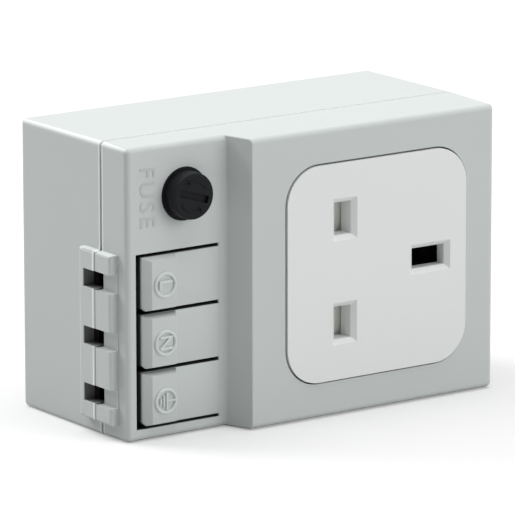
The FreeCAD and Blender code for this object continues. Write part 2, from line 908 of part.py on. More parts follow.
def neutral_bar():
    body = piece("neutral_bar")
    z = terminal_z[1]
    low, high = bar_low, bar_low + D.bar_thick
    x0, x1 = drop_x(), drop_x() + D.drop_thick
    reach = D.bar_width / 2
    add(body, "XZ", low, high, rect(bar_start_x(), x1, z - reach, z + reach))
    run = D.neutral_level
    add(body, "XZ", run, low, rect(x0, x1, z - D.run_width / 2, z + D.run_width / 2))
    top = run + D.strip_thick
    far = line_z + D.neutral_shift
    add(body, "XZ", run, top, rect(x0, x0 + D.run_width, z - D.run_width / 2, far))
    near = far - D.run_width
    add(body, "XZ", run, top, rect(x0, line_x + D.run_width / 2, near, far))
    return body


def earth_bar():
    body = piece("earth_bar")
    z = terminal_z[2]
    low, high = bar_low, bar_low + D.bar_thick
    x0, x1 = drop_x(), drop_x() + D.drop_thick
    reach = D.bar_width / 2
    add(body, "XZ", low, high, rect(bar_start_x(), x1, z - reach, z + reach))
    run = D.earth_level
    add(body, "XZ", run, low, rect(x0, x1, z - D.run_width / 2, z + D.run_width / 2))
    top = run + D.strip_thick
    way = D.screw_edge - tall + D.boss_radius + D.bar_slack
    lane = rect(x0, x0 + D.lane_width, z - D.run_width / 2, way + D.run_width)
    add(body, "XZ", run, top, lane)
    add(body, "XZ", run, top, rect(x0, earth_x + D.run_width / 2, way, way + D.run_width))
    end = rect(earth_x - D.run_width / 2, earth_x + D.run_width / 2, way, D.tail_width / 2)
    add(body, "XZ", run, top, end)
    return body


def fuse_link_bar():
    body = piece("fuse_link_bar")
    low, high = D.link_level, D.link_level + D.strip_thick
    width = D.run_width
    x0 = drop_x() - D.bar_slack
    start = rect(fuse_x - width, x0 + width, fuse_z - width / 2, fuse_z + width / 2)
    add(body, "XZ", low, high, start)
    cut(body, "XZ", low, high, disc(fuse_x, fuse_z, D.rivet_hole))
    add(body, "XZ", low, high, rect(x0, x0 + width, -line_z - width / 2, fuse_z))
    add(body, "XZ", low, high, rect(x0, line_x + width / 2, -line_z - width / 2, width / 2 - line_z))
    return body


def socket_insert():
    body = piece("socket_insert")
    side = D.insert_size
    plate = insert_face - D.insert_plate
    add(body, "XZ", plate, insert_face, rounded(insert_x, 0, side, side, D.insert_round))
    flange = side + D.flange_width * 2
    low = high_inside - D.flange_thick
    inner = side - D.flange_width * 2
    add(
        body,
        "XZ",
        low,
        high_inside,
        rounded(insert_x, 0, flange, flange, D.insert_round + D.flange_width),
        rounded(insert_x, 0, inner, inner, D.insert_round - D.flange_width),
    )
    boss_x = D.line_slot_x + D.boss_wall * 2
    boss_z = D.line_slot_z + D.boss_wall * 2
    bosses = [middle_rect(line_x, line_z * s, boss_x, boss_z) for s in (-1, 1)]
    add(body, "XZ", insert_face - D.boss_depth, plate, *bosses)
    slots = [(line_x, line_z * s, D.line_slot_x, D.line_slot_z) for s in (-1, 1)]
    slots.append((earth_x, size(0), D.earth_slot_x, D.earth_slot_z))
    outlines = [middle_rect(*slot) for slot in slots]
    cut(body, "XZ", insert_face - D.boss_depth, insert_face, *outlines)

    def mouth(edge):
        spot = edge.CenterOfMass
        beside = [
            abs(spot.x - x.value) <= wide.value / 2 + 1e-3 and abs(spot.z - z.value) <= high.value / 2 + 1e-3
            for x, z, wide, high in slots
        ]
        return at_level(edge, insert_face) and any(beside)

    dress(body, "Chamfer", D.slot_chamfer, mouth)
    return body


def contact_carrier():
    """The moulding behind the insert, with a chimney for each contact."""
    body = piece("contact_carrier")
    top = carrier_front
    wall = D.carrier_wall
    add(body, "XZ", D.carrier_foot, top, middle_rect(insert_x, 0, D.carrier_x, D.carrier_z))
    hollow = middle_rect(insert_x, 0, D.carrier_x - wall * 2, D.carrier_z - wall * 2)
    cut(body, "XZ", D.carrier_foot, top - wall, hollow)
    slack = D.pocket_slack
    thick = D.contact_thick * 2
    line_w = D.line_pin_x + thick + slack
    line_h = D.line_pin_z + slack
    earth_w = D.earth_slot_x + slack
    earth_h = D.earth_pin_z + thick + slack
    wells = [(line_x, -line_z, line_w, line_h), (line_x, line_z, line_w, line_h)]
    wells.append((earth_x, size(0), earth_w, earth_h))
    side = D.chimney_wall * 2
    chimneys = [middle_rect(x, z, w + side, h + side) for x, z, w, h in wells]
    add(body, "XZ", D.chimney_foot, top - wall, *chimneys)
    pockets = [middle_rect(x, z, w, h) for x, z, w, h in wells]
    cut(body, "XZ", D.contact_foot, top, *pockets)
    tail_gap = D.strip_thick + slack
    tails = [middle_rect(x, z, tail_gap, D.tail_width + slack) for x, z, w, h in wells]
    cut(body, "XZ", D.chimney_foot, D.contact_foot, *tails)

    # four posts that hold the insert's flange against the cover
    flange_low = high_inside - D.flange_thick
    corner_x = D.carrier_x / 2 - D.post_size / 2
    corner_z = D.carrier_z / 2 - D.post_size / 2
    posts = [
        middle_rect(insert_x + corner_x * a, corner_z * b, D.post_size, D.post_size)
        for a in (-1, 1)
        for b in (-1, 1)
    ]
    add(body, "XZ", top, flange_low, *posts)

    # guides beside the shutter, a stop for its spring and room for its ramp
    guide_low = D.shutter_z / 2 + D.shutter_slack
    guide_high = D.carrier_z / 2
    rail_end = line_x + D.line_slot_x
    rails = [
        rect(insert_x - D.carrier_x / 2 + D.post_size, rail_end, guide_low * s, guide_high * s)
        for s in (-1, 1)
    ]
    shutter_top = shutter_low() + D.shutter_thick
    add(body, "XZ", top, shutter_top, *rails)
    stop = insert_x - D.carrier_x / 2
    block = rect(stop, stop + D.spring_stop, -D.tail_width / 2, D.tail_width / 2)
    add(body, "XZ", top, shutter_top, block)
    ramp_end = ramp_x() + D.ramp_depth + D.shutter_slack
    link = D.link_z / 2 + D.shutter_slack
    way = rect(ramp_x() - D.shutter_travel - D.shutter_slack * 2, ramp_end, -link, link)
    cut(body, "XZ", shutter_low() + D.shutter_thick - D.ramp_depth - D.shutter_slack, top, way)
    groove = D.shutter_spring_radius + D.shutter_spring_wire
    trough = rect(stop + D.spring_stop, shutter_left(), -groove, groove)
    cut(body, "XZ", spring_level() - groove, top, trough)
    return body


def shutter_low():
    return carrier_front + D.shutter_lift


def shutter_left():
    return line_x - D.line_slot_x / 2 - D.shutter_side


def ramp_x():
    """The top of the shutter's ramp, just left of where the earth pin comes in."""
    return earth_x - D.earth_pin_x / 2 - D.ramp_lead


def spring_level():
    return shutter_low() + D.shutter_thick / 2


def shutter():
    body = piece("shutter")
    low = shutter_low()
    top = low + D.shutter_thick
    x0 = shutter_left()
    x1 = line_x + D.line_slot_x / 2 + D.shutter_side
    add(body, "XZ", low, top, middle_rect((x0 + x1) / 2, 0, x1 - x0, D.shutter_z))
    link = D.link_z / 2
    start = ramp_x()
    add(body, "XZ", low, top, rect(x1, start, -link, link))
    depth = D.ramp_depth
    ramp = poly([(start, -top), (start + depth, -(top - depth)), (start, -(top - depth))])
    add(body, "XY", -link, link, ramp)
    return body


def pin_contact(name, x, z, bar_level, top, grip_x, grip_z):
    """A fork whose two leaves grip a pin's wide faces, with a tail that stands on its bar."""
    body = piece(f"{name}_contact")
    thick = D.contact_thick * 2
    sole = D.contact_foot + D.contact_sole
    if grip_x.value < grip_z.value:
        outer = middle_rect(x, z, grip_x + thick, grip_z)
        inner = middle_rect(x, z, grip_x, grip_z + thick)
    else:
        outer = middle_rect(x, z, grip_x, grip_z + thick)
        inner = middle_rect(x, z, grip_x + thick, grip_z)
    add(body, "XZ", D.contact_foot, top, outer)
    cut(body, "XZ", sole, top, inner)
    tail = middle_rect(x, z, D.strip_thick, D.tail_width)
    add(body, "XZ", bar_level + D.strip_thick, D.contact_foot, tail)
    return body


def fuse_holder():
    body = piece("fuse_holder")
    front = low_face + D.ring_proud
    shoulder = front - D.ring_thick
    end = shoulder - D.tube_length
    add(body, "XZ", shoulder, front, disc(fuse_x, fuse_z, D.ring_radius))
    add(body, "XZ", end, shoulder, disc(fuse_x, fuse_z, D.tube_radius))
    cut(body, "XZ", end + D.tube_bottom, front, disc(fuse_x, fuse_z, D.tube_bore))
    cut(body, "XZ", end, end + D.tube_bottom, disc(fuse_x, fuse_z, D.stem_radius + D.tube_fit))
    slot_low = side_contact_foot - D.slide_fit
    slot_high = side_contact_foot + D.side_contact_height + D.slide_fit
    reach = D.side_contact_x / 2 + D.slide_fit
    slot = rect(fuse_x - reach, fuse_x + reach, fuse_z - D.tube_radius, fuse_z)
    cut(body, "XZ", slot_low, slot_high, slot)
    return body


def fuse_holder_nut():
    body = piece("fuse_holder_nut")
    radius = D.nut_across / 2 / math.cos(math.pi / 6)
    corners = []
    for k in range(6):
        turn = math.pi / 3 * k
        corners.append((fuse_x + radius * math.cos(turn), fuse_z + radius * math.sin(turn)))
    low = low_inside - D.nut_thick
    hole = disc(fuse_x, fuse_z, D.tube_radius + D.tube_fit)
    add(body, "XZ", low, low_inside, poly(corners), hole)
    return body


def tube_end():
    """The level of the fuse holder's rear end."""
    return low_face + D.ring_proud - D.ring_thick - D.tube_length


def fuse_low():
    """The level of the fuse's rear end, resting on the tip contact."""
    return cap_mouth() - D.fuse_top_gap - D.fuse_length


def cap_mouth():
    """The level of the blind end of the fuse cap's bore."""
    return low_face + D.ring_proud + D.cap_gap - D.cap_floor


def fuse_tip_contact():
    body = piece("fuse_tip_contact")
    inner = tube_end() + D.tube_bottom
    add(body, "XZ", inner, fuse_low(), disc(fuse_x, fuse_z, D.rivet_radius))
    add(body, "XZ", D.link_level + D.strip_thick, inner, disc(fuse_x, fuse_z, D.stem_radius))
    return body


def fuse_side_contact():
    body = piece("fuse_side_contact")
    reach = D.side_contact_x / 2
    low = side_contact_foot
    inner = fuse_z - D.tube_bore
    tab = rect(fuse_x - reach, fuse_x + reach, side_contact_z(), inner)
    add(body, "XZ", low, low + D.side_contact_height, tab)
    return body


def fuse_cap():
    body = piece("fuse_cap")
    low = low_face + D.ring_proud + D.cap_gap
    front = low_face + D.cap_proud
    add(body, "XZ", low, front, disc(fuse_x, fuse_z, D.cap_radius))
    dress(body, "Fillet", D.cap_round, lambda edge: at_level(edge, front))
    shank_end = low - D.cap_shank
    add(body, "XZ", shank_end, low, disc(fuse_x, fuse_z, D.cap_shank_radius))
    cut(body, "XZ", shank_end, cap_mouth(), disc(fuse_x, fuse_z, D.sleeve_bore))
    turn = math.radians(D.cap_slot_turn.value)
    cosine = Size("cos(Sizes.cap_slot_turn * 1deg)", math.cos(turn))
    sine = Size("sin(Sizes.cap_slot_turn * 1deg)", math.sin(turn))
    corners = []
    for a, b in ((-1, -1), (1, -1), (1, 1), (-1, 1)):
        along = D.cap_slot_length / 2 * a
        across = D.cap_slot_width / 2 * b
        x = fuse_x + along * cosine - across * sine
        z = fuse_z + along * sine + across * cosine
        corners.append((x, z))
    cut(body, "XZ", front - D.cap_slot_depth, front, poly(corners))
    return body


def fuse_cap_sleeve():
    body = piece("fuse_cap_sleeve")
    top = low_face + D.ring_proud + D.cap_gap - D.cap_shank
    ring = disc(fuse_x, fuse_z, D.sleeve_radius), disc(fuse_x, fuse_z, D.sleeve_bore)
    add(body, "XZ", top - D.sleeve_length, top, *ring)
    return body


def fuse_glass():
    body = piece("fuse_glass")
    low = fuse_low() + D.end_cap_wall
    high = fuse_low() + D.fuse_length - D.end_cap_wall
    outer = D.fuse_radius - D.end_cap_wall
    bore = outer - D.glass_wall
    add(body, "XZ", low, high, disc(fuse_x, fuse_z, outer), disc(fuse_x, fuse_z, bore))
    return body


def fuse_end_caps():
    body = piece("fuse_end_caps")
    low = fuse_low()
    high = low + D.fuse_length
    reach = D.end_cap_length
    for start, stop in ((low, low + reach), (high - reach, high)):
        add(body, "XZ", start, stop, disc(fuse_x, fuse_z, D.fuse_radius))
    inner = D.fuse_radius - D.end_cap_wall
    cut(body, "XZ", low + D.end_cap_wall, high - D.end_cap_wall, disc(fuse_x, fuse_z, inner))
    return body


def fuse_wire():
    body = piece("fuse_wire")
    low = fuse_low() + D.end_cap_wall
    high = fuse_low() + D.fuse_length - D.end_cap_wall
    add(body, "XZ", low, high, disc(fuse_x, fuse_z, D.fuse_wire_radius))
    return body


def casing_screws():
    body = piece("casing_screws")
    under = back + D.screw_sink
    low = under - D.screw_head_height
    end = seam + D.screw_bite
    add(body, "XZ", low, under, *[disc(x, z, D.screw_head_radius) for x, z in screw_places])
    add(body, "XZ", under, end, *[disc(x, z, D.screw_radius) for x, z in screw_places])
    long_way, thin = D.recess_length, D.recess_width
    for width, height in ((long_way, thin), (thin, long_way)):
        arms = [middle_rect(x, z, width, height) for x, z in screw_places]
        cut(body, "XZ", low, low + D.recess_depth, *arms)
    return body


def hook_x():
    """The face of the latch that meets the edge of the rail."""
    return -(D.rail_width / 2 + D.rail_slack)


def latch_inner_x():
    return hook_x() + D.latch_inner


def post_x():
    return hook_x() + D.post_from_hook - D.post_thick


def rail_latch():
    body = piece("rail_latch")
    low = D.latch_inset
    high = low + D.latch_thick
    end = -D.plinth_length / 2 - D.latch_tail
    inner = latch_inner_x()
    split = high - D.latch_flange
    reach = D.latch_width / 2
    neck = D.latch_neck / 2
    add(body, "XZ", split, high, rect(end, inner, -reach, reach))
    add(body, "XZ", low, split, rect(end, inner, -neck, neck))
    face = hook_x()
    lip = face + D.hook_lip
    hook = poly(
        [
            (face, -low),
            (face, D.hook_gap),
            (lip, D.hook_gap + D.hook_slope),
            (lip, D.hook_reach - D.hook_slope * 2),
            (lip - D.hook_lip / 2, D.hook_reach),
            (face - D.latch_hook, D.hook_reach),
            (face - D.latch_hook, -low),
        ]
    )
    add(body, "XY", -neck, neck, hook)
    window_start = post_x() - D.slide_fit
    window_end = window_start + D.latch_window_end
    opening = D.post_width / 2 + D.slide_fit * 2
    cut(body, "XZ", low, high, rect(window_start, window_end, -opening, opening))
    slot_x = end + D.latch_slot_edge + D.latch_slot_width / 2
    slot = middle_rect(slot_x, 0, D.latch_slot_width, D.latch_slot_length)
    cut(body, "XZ", low, high, slot)
    return body


def arc(start, way, end):
    """The arc that leaves start along way and ends at end."""
    chord = end - start
    lean = way.getAngle(chord)
    unit = V(chord).normalize()
    side = (way - unit * way.dot(unit)).normalize()
    middle = start + chord * 0.5 + side * (chord.Length / 2 * math.tan(lean / 2))
    return Part.Arc(start, middle, end).toShape()


def coil_spring(label, start, end, y, z, radius, wire, turns):
    """An open coil along X between two faces, as one tube on arcs."""
    steps = turns * 4
    first = start + wire / 2
    rise = (end - start - wire) / steps
    slope = rise / (math.pi / 2)

    def spot(k):
        turn = math.pi / 2 * k
        place = V(first + rise * k, y + radius * math.cos(turn), z + radius * math.sin(turn))
        way = V(slope, -radius * math.sin(turn), radius * math.cos(turn)).normalize()
        return place, way

    edges = []
    for k in range(steps):
        (p, t), (q, u) = spot(k), spot(k + 1)
        gap = q - p
        a = 2 * (1 - t.dot(u))
        b = 2 * gap.dot(t + u)
        reach = (math.sqrt(b * b + 4 * a * gap.dot(gap)) - b) / (2 * a)
        joint = (p + t * reach + q - u * reach) * 0.5
        meet = (q - u * reach - p - t * reach).normalize()
        edges.append(arc(p, t, joint))
        edges.append(arc(joint, meet, q))
    place, way = spot(0)
    section = Part.Wire([Part.makeCircle(wire / 2, place, way)])
    solid = Part.Wire(edges).makePipeShell([section], True, False)
    print(f"{label}: least gap between turns {rise * 4 - wire:.2f}")
    feature = doc.addObject("Part::Feature", label)
    feature.Label = label
    feature.Shape = solid
    feature.Placement = FreeCAD.Placement()
    pieces.append(feature)


def latch_spring():
    start = post_x() + D.post_thick
    end = post_x() - D.slide_fit + D.latch_window_end
    level = D.latch_inset + D.latch_thick / 2
    radius, wire = D.latch_spring_radius.value, D.latch_spring_wire.value
    ends = start.value, end.value
    coil_spring("latch_spring", *ends, -level.value, 0, radius, wire, latch_coils)


def shutter_spring():
    start = insert_x - D.carrier_x / 2 + D.spring_stop
    radius, wire = D.shutter_spring_radius.value, D.shutter_spring_wire.value
    ends = start.value, shutter_left().value
    coil_spring("shutter_spring", *ends, -spring_level().value, 0, radius, wire, shutter_coils)


rear_base()
front_cover()
socket_insert()
contact_carrier()
shutter()
shutter_spring()
line_pin = D.line_pin_x, D.line_pin_z
earth_pin = D.earth_pin_x, D.earth_pin_z
pin_contact("live", line_x, -line_z, D.link_level, line_contact_front, *line_pin)
pin_contact("neutral", line_x, line_z, D.neutral_level, line_contact_front, *line_pin)
pin_contact("earth", earth_x, size(0), D.earth_level, earth_contact_front, *earth_pin)
terminal_block()
for name, z in zip(terminals, terminal_z):
    lever(name, z)
    clamp_leaf(name, z)
live_bar()
neutral_bar()
earth_bar()
fuse_link_bar()
fuse_holder()
fuse_holder_nut()
fuse_tip_contact()
fuse_side_contact()
fuse_cap()
fuse_cap_sleeve()
fuse_glass()
fuse_end_caps()
fuse_wire()
casing_screws()
rail_latch()
latch_spring()

doc.recompute()
for item in doc.Objects:
    if "Invalid" in item.State or "Error" in item.State:
        raise RuntimeError(f"{item.Label} failed: {item.State}")
os.makedirs("parts", exist_ok=True)
for item in pieces:
    shape = item.Shape
    if shape.isNull() or not shape.isValid():
        raise RuntimeError(f"{item.Label} has no valid shape")
    shape.exportStep(f"parts/{item.Label}.step")
    print(f"{item.Label}: {len(shape.Solids)} solids, {shape.Volume:.1f} mm3")
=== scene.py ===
import math
import bmesh
import bpy
from mathutils import Matrix, Vector


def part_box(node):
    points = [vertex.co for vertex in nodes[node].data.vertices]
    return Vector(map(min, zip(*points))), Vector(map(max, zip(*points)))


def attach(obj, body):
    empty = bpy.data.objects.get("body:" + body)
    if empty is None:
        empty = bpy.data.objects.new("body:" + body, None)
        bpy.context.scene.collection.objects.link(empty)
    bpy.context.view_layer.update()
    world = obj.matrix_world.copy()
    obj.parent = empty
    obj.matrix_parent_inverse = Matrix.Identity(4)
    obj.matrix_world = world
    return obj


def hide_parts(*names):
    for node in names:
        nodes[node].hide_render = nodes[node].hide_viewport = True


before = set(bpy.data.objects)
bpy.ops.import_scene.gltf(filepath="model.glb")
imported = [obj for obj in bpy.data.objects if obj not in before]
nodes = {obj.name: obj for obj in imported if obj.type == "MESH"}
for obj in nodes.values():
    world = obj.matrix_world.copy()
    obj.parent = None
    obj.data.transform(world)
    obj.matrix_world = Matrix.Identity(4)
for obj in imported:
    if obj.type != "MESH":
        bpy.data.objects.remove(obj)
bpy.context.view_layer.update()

# Looks for a rail-mounted socket outlet. Sizes in the dictionaries are in mm; the scene is in metres.
mm = 0.001
hair = 0.001  # mm within which two places count as one
crisp = 0.01  # mm over which a sharp border between two tones fades
terminals = ("live", "neutral", "earth")
print("frame loaded:", len(nodes), "nodes")


# Camera, at the photograph's angle
cameraLook = {
    "aim": (1.0, -34.0, 0.0),
    "azimuth": -35.131,
    "elevation": 13.018,
    "roll": -0.083,
    "across": -4.988,
    "up": 0.322,
    "away": 1163.734,
    "lens": 387.2,
    "sensor": 36,
    "clip": (50, 60000),
}


def placeCamera(look):
    az, el, roll = (math.radians(look[k]) for k in ("azimuth", "elevation", "roll"))
    back = Vector((math.sin(az) * math.cos(el), -math.cos(az) * math.cos(el), math.sin(el)))
    level = Vector((math.cos(az), math.sin(az), 0))
    rise = back.cross(level)
    right = level * math.cos(roll) + rise * math.sin(roll)
    up = rise * math.cos(roll) - level * math.sin(roll)
    spot = Vector(look["aim"]) + right * look["across"] + up * look["up"] + back * look["away"]
    turn = Matrix((right, up, back)).transposed().to_4x4()
    data = bpy.data.cameras.new("camera")
    data.lens = look["lens"]
    data.sensor_width = look["sensor"]
    data.clip_start, data.clip_end = (reach * mm for reach in look["clip"])
    camera = bpy.data.objects.new("camera", data)
    camera.matrix_world = Matrix.Translation(spot * mm) @ turn
    bpy.context.collection.objects.link(camera)
    bpy.context.scene.camera = camera


placeCamera(cameraLook)
bpy.context.scene.view_settings.view_transform = "Standard"
print("camera placed")


# Shader sums
class Wire:  # a node's socket that plain arithmetic can use
    def __init__(self, tree, socket=None):
        self.tree = tree
        self.socket = socket

    def node(self, kind, settings=None, values=None, out=0):
        made = self.tree.nodes.new("ShaderNode" + kind)
        for name, value in (settings or {}).items():
            if name == "stops":
                ramp = made.color_ramp.elements
                while len(ramp) < len(value):
                    ramp.new(0.5)
                for stop, (spot, tone) in zip(ramp, value):
                    stop.position = spot
                    stop.color = tone
            else:
                setattr(made, name, value)
        for name, value in (values or {}).items():
            if isinstance(value, Wire):
                self.tree.links.new(value.socket, made.inputs[name])
            else:
                made.inputs[name].default_value = value
        return Wire(self.tree, made.outputs[out] if made.outputs else None)

    def beside(self, out):  # another output of the same node
        return Wire(self.tree, self.socket.node.outputs[out])

    def maths(self, operation, *values, clamp=False):
        return self.node("Math", {"operation": operation, "use_clamp": clamp}, dict(enumerate(values)))

    def __add__(self, other):
        return self.maths("ADD", self, other)

    __radd__ = __add__

    def __mul__(self, other):
        return self.maths("MULTIPLY", self, other)

    __rmul__ = __mul__

    def __sub__(self, other):
        return self.maths("SUBTRACT", self, other)

    def __rsub__(self, other):
        return self.maths("SUBTRACT", other, self)

    def highest(self, other):
        return self.maths("MAXIMUM", self, other)

    def blend(self, first, second):  # this wire is the share of the second colour
        return self.node("Mix", {"data_type": "RGBA"}, {0: self, 6: first, 7: second}, out=2)


def linear(tone, gain=1.0):  # an sRGB colour out of 255, as Blender's linear numbers
    parts = [c / 255 for c in tone]
    parts = [p / 12.92 if p <= 0.04045 else ((p + 0.055) / 1.055) ** 2.4 for p in parts]
    return (*[min(1.0, p * gain) for p in parts], 1.0)


def newMaterial(name):
    made = bpy.data.materials.new(name)
    made.use_nodes = True
    made.node_tree.nodes.clear()
    return made, Wire(made.node_tree)


def closeMaterial(made, shader):
    shader.node("OutputMaterial", {}, {"Surface": shader})
    return made


def reliefOf(height, strength, depth):  # a bump whose depth is in mm
    return height.node("Bump", {}, {"Strength": strength, "Distance": depth * mm, "Height": height})


# Plastics: a moulded grain, a slow drift of tone and gloss, and fibre specks where there are any
plasticLooks = {
    "casingPlastic": {
        "tone": (199, 204, 203), "rough": 0.52, "grain": 0.35, "depth": 0.010, "drift": 0.018,
        "shine": 0.3, "inside": 0.10,
    },
    # the lever's own plastic made paler, a painted highlight on the raised marks
    "markPlasticPaintedHighlight": {
        "tone": (211, 216, 215), "rough": 0.46, "grain": 0.35, "depth": 0.006, "drift": 0.018,
        "shine": 0.4,
    },
    "insertPlastic": {
        "tone": (229, 231, 230), "rough": 0.36, "grain": 0.45, "depth": 0.006, "drift": 0.010,
        "shine": 0.5,
    },
    # the shutter's own ivory, made paler by painted light as it sits deep in the dim slots
    "shutterIvoryPaintedLight": {
        "tone": (232, 234, 226), "rough": 0.42, "grain": 0.40, "depth": 0.008, "drift": 0.020,
        "shine": 0.5,
    },
    "latchPlastic": {
        "tone": (150, 155, 155), "rough": 0.48, "grain": 0.30, "depth": 0.012, "drift": 0.025,
        "shine": 0.5, "speck": 0.06,
    },
    "blackPlastic": {
        "tone": (26, 27, 29), "rough": 0.46, "grain": 0.28, "depth": 0.010, "drift": 0.10,
        "shine": 0.12, "speck": 0.01,
    },
}
mouldLook = {
    "driftNoise": {"Scale": 32, "Detail": 4, "Roughness": 0.6},
    "grainDetail": 2,
    "driftRough": 0.10,
    "grainRough": 0.06,
    "meanRough": 0.08,  # what drift and grain add to the roughness on average
    "bump": 0.45,
    "ior": 1.49,
    "speckCells": 2200,
    "speckSize": 0.22,
    "speckTone": (250, 250, 245),
}
# Painted light and shade that the casing's tone carries. Its insides, wire holes, foot and back edges are
# darker with painted shade.
# The seam on the top is paler with painted light, and the edges of the seam, the left side's top and the wire
# entry strip are paler with painted highlights.
# X, Z and the level in front of the rail seat bound each place, and its border is as wide as its fade.
casingShade = {
    "paintedLightTone": (252, 255, 254),
    "innerX": 44.15,
    "innerZ": 30.05,
    "innerBack": 5.6,
    "lowFront": 43.9,
    "raisedFront": 50.0,
    "raisedStart": -17.3,
    "fade": 0.4,
    "mouth": {"x": (-46.7, -44.1), "level": (30.7, 35.85), "z": (-27.6, 8.1), "fade": 0.2, "share": 0.76},
    "foot": {"z": -31.0, "fade": 0.42, "lean": 0.02, "share": 0.95},
    "backEdge": {"level": (5.12, 5.6), "fade": 0.08, "share": 0.45},
    "seam": {"level": 35.0, "near": 0.42, "far": 0.72, "fade": 0.12, "x": -44.3, "share": 0.6},
    "crest": {"z": 29.5, "fade": 1.5, "x": -44.3, "share": 0.65},
    "topSeam": {"z": 30.2, "reach": 0.36, "share": 0.7},
    "strip": {
        "x": -45.1, "back": (29.32, 29.75), "top": 8.0, "lip": (34.36, 34.9), "fade": 0.1,
        "shares": {"back": 0.4, "top": 0.42, "lip": 1.0},
    },
}


def past(wire, level, fade=crisp):  # 0 up to a level in mm and 1 beyond it
    values = {"Value": wire, "From Min": level * mm, "From Max": (level + fade) * mm}
    return wire.node("MapRange", {"interpolation_type": "SMOOTHSTEP"}, values)


def between(wire, low, high, fade=crisp):
    return past(wire, low - fade, fade) * (1 - past(wire, high, fade))


def paintedShadeShare(x, z, level, look):  # painted shade on the insides, the wire holes, the foot and the back edges
    fade = look["fade"]
    walls = between(x, -look["innerX"], look["innerX"]) * between(z, -look["innerZ"], look["innerZ"])
    raised = past(x, look["raisedStart"]) * (1 - past(level, look["raisedFront"] - fade, fade))
    low = 1 - past(level, look["lowFront"] - fade, fade)
    inside = walls * past(level, look["innerBack"]) * low.highest(raised)
    hole = look["mouth"]
    mouth = between(x, *hole["x"]) * between(level, *hole["level"]) * between(z, *hole["z"])
    mouth = mouth * past(x, hole["x"][0], hole["fade"]) * hole["share"]
    foot = look["foot"]
    front = (level - look["seam"]["level"] * mm).highest(0)  # the cover's underside rises forwards
    rim = (1 - past(z - front * foot["lean"], foot["z"], foot["fade"])) * foot["share"]
    edge = look["backEdge"]
    rim = rim.highest(between(level, *edge["level"], edge["fade"]) * edge["share"])
    return rim.highest(inside.highest(mouth))


def paintedHighlightShare(x, z, level, away, look):  # painted highlights on the edges of the seam, the left side's top and the wire entry strip
    seam, strip, crest = look["seam"], look["strip"], look["crest"]
    lines = between(away, seam["near"], seam["far"], seam["fade"])
    lines = lines * between(x, strip["x"], seam["x"]) * seam["share"]
    edges = past(z, strip["top"], strip["fade"]) * strip["shares"]["top"]
    for side in ("back", "lip"):
        edges = edges.highest(between(level, *strip[side], strip["fade"]) * strip["shares"][side])
    lines = lines.highest(edges * (1 - past(x, strip["x"])))
    leftTop = past(z, crest["z"], crest["fade"]) * (1 - past(x, crest["x"])) * crest["share"]
    return lines.highest(leftTop)


def topSeamPaintedLight(z, away, look):  # painted light in the seam on the top, where light would find its way in
    seam = look["topSeam"]
    return past(z, seam["z"]) * (1 - past(away, seam["reach"])) * seam["share"]


# Lays the painted light and shade, and the levers' and word's painted shade, over the casing's tone
def shadeCasing(tone, place, look, shade):
    x = place.node("SeparateXYZ", {}, {"Vector": place})
    z, level = x.beside(2), x.beside(1) * -1
    away = level.maths("ABSOLUTE", level - shade["seam"]["level"] * mm)  # the way from the seam's middle
    dusk = place.node("Attribute", {"attribute_name": "dusk"}, out=2)
    dark, pale = linear(look["tone"], look["inside"]), linear(shade["paintedLightTone"])
    tone = paintedHighlightShare(x, z, level, away, shade).blend(tone, pale)
    tone = dusk.highest(paintedShadeShare(x, z, level, shade)).blend(tone, dark)
    return topSeamPaintedLight(z, away, shade).blend(tone, pale)


def mouldedPlastic(name, look, mould):
    made, start = newMaterial(name)
    place = start.node("TexCoord", out="Object")
    drift = start.node("TexNoise", {}, {"Vector": place, **mould["driftNoise"]})
    fineness = 1 / (look["grain"] * mm)
    grain = start.node("TexNoise", {}, {"Vector": place, "Scale": fineness, "Detail": mould["grainDetail"]})
    tone = drift.blend(linear(look["tone"], 1 - look["drift"]), linear(look["tone"], 1 + look["drift"]))
    if "inside" in look:
        tone = shadeCasing(tone, place, look, casingShade)
    if "speck" in look:
        cells = start.node("TexVoronoi", {}, {"Vector": place, "Scale": mould["speckCells"]})
        specks = cells.maths("LESS_THAN", cells, mould["speckSize"]) * look["speck"]
        tone = specks.blend(tone, linear(mould["speckTone"]))
    rough = drift * mould["driftRough"] + grain * mould["grainRough"] + (look["rough"] - mould["meanRough"])
    values = {
        "Base Color": tone, "Roughness": rough, "IOR": mould["ior"],
        "Specular IOR Level": look["shine"], "Normal": reliefOf(grain, mould["bump"], look["depth"]),
    }
    return closeMaterial(made, start.node("BsdfPrincipled", {}, values))


# Metals: rolled streaks along the piece and dull patches
metalLooks = {
    "contactBrass": {
        "tone": (205, 168, 98), "dull": (142, 104, 58), "rough": 0.28,
        "along": (120, 2600, 2600), "patch": 0.45,
    },
    "nickelPlate": {
        "tone": (206, 202, 193), "dull": (150, 146, 138), "rough": 0.22,
        "along": (2400, 160, 2400), "patch": 0.25,
    },
    "springSteel": {
        "tone": (186, 187, 190), "dull": (120, 119, 120), "rough": 0.26,
        "along": (180, 2200, 2200), "patch": 0.30,
    },
    "zincSteel": {
        "tone": (190, 195, 199), "dull": (150, 150, 132), "rough": 0.34,
        "along": (900, 900, 900), "patch": 0.40,
    },
    "fuseElement": {
        "tone": (200, 190, 165), "dull": (140, 130, 110), "rough": 0.30,
        "along": (3000, 300, 3000), "patch": 0.30,
    },
}
wearLook = {
    "streakDetail": 3,
    "patchNoise": {"Scale": 260, "Detail": 5, "Roughness": 0.65},
    "worn": ((0.42, (0, 0, 0, 1)), (0.68, (1, 1, 1, 1))),
    "streakShare": 0.12,
    "wornRough": 0.22,
    "streakRough": 0.14,
    "easeRough": 0.06,  # taken off, so that streaks come out smoother as well as rougher
    "bump": 0.35,
    "depth": 0.006,
}


def drawnStreaks(place, along, detail):
    drawn = place.node("Mapping", {}, {"Vector": place, "Scale": along})
    return place.node("TexNoise", {}, {"Vector": drawn, "Scale": 1, "Detail": detail})


